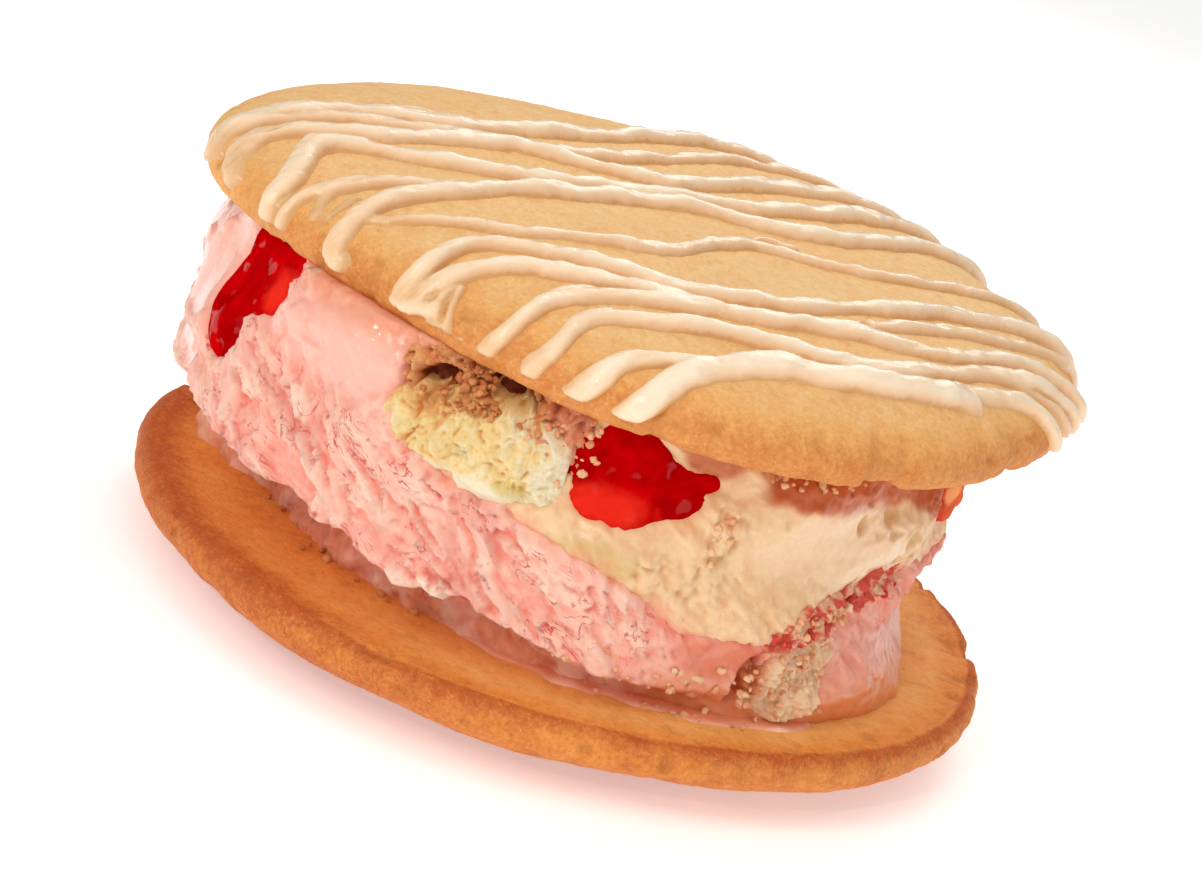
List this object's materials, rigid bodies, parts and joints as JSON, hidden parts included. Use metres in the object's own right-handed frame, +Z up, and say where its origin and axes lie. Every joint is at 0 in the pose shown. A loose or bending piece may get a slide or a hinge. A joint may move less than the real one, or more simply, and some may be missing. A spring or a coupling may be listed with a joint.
{
  "type": "ice cream sandwich",
  "caption": "Ice cream sandwich: domed sugar biscuits round a thick block of strawberry and vanilla ice cream with sauce, cake and crumble, icing drizzled across the top.",
  "frame": {"origin": "middle of the flattened spot on the lower biscuit's crown, on the surface that the sandwich rests on", "axes": "+Z up, -Y towards the front where the sauce and the cake show, +X to the right of someone looking at the front"},
  "size_m": [0.0979, 0.0996, 0.0488],
  "materials": {
    "browned_biscuit": "baked sugar biscuit, browned underside, fine sandy crumb",
    "iced_biscuit": "pale golden sugar biscuit with satin piped icing",
    "pink_ice_cream": "soft torn ice cream, glossy where it melts",
    "cream_ice_cream": "soft torn ice cream, glossy where it melts",
    "red_sauce": "clear wet gel",
    "yellow_cake": "moist open cake crumb",
    "pink_crumble": "soaked crumbs",
    "red_fruit": "wet fruit"
  },
  "bodies": {
    "root": {"cookie_bottom": "browned_biscuit", "cookie_top": "iced_biscuit", "strawberry_ice_cream": "pink_ice_cream", "vanilla_ice_cream": "cream_ice_cream", "strawberry_sauce": "red_sauce", "cake_piece": "yellow_cake", "strawberry_crumble": "pink_crumble", "strawberry_piece": "red_fruit"}
  },
  "joints": []
}
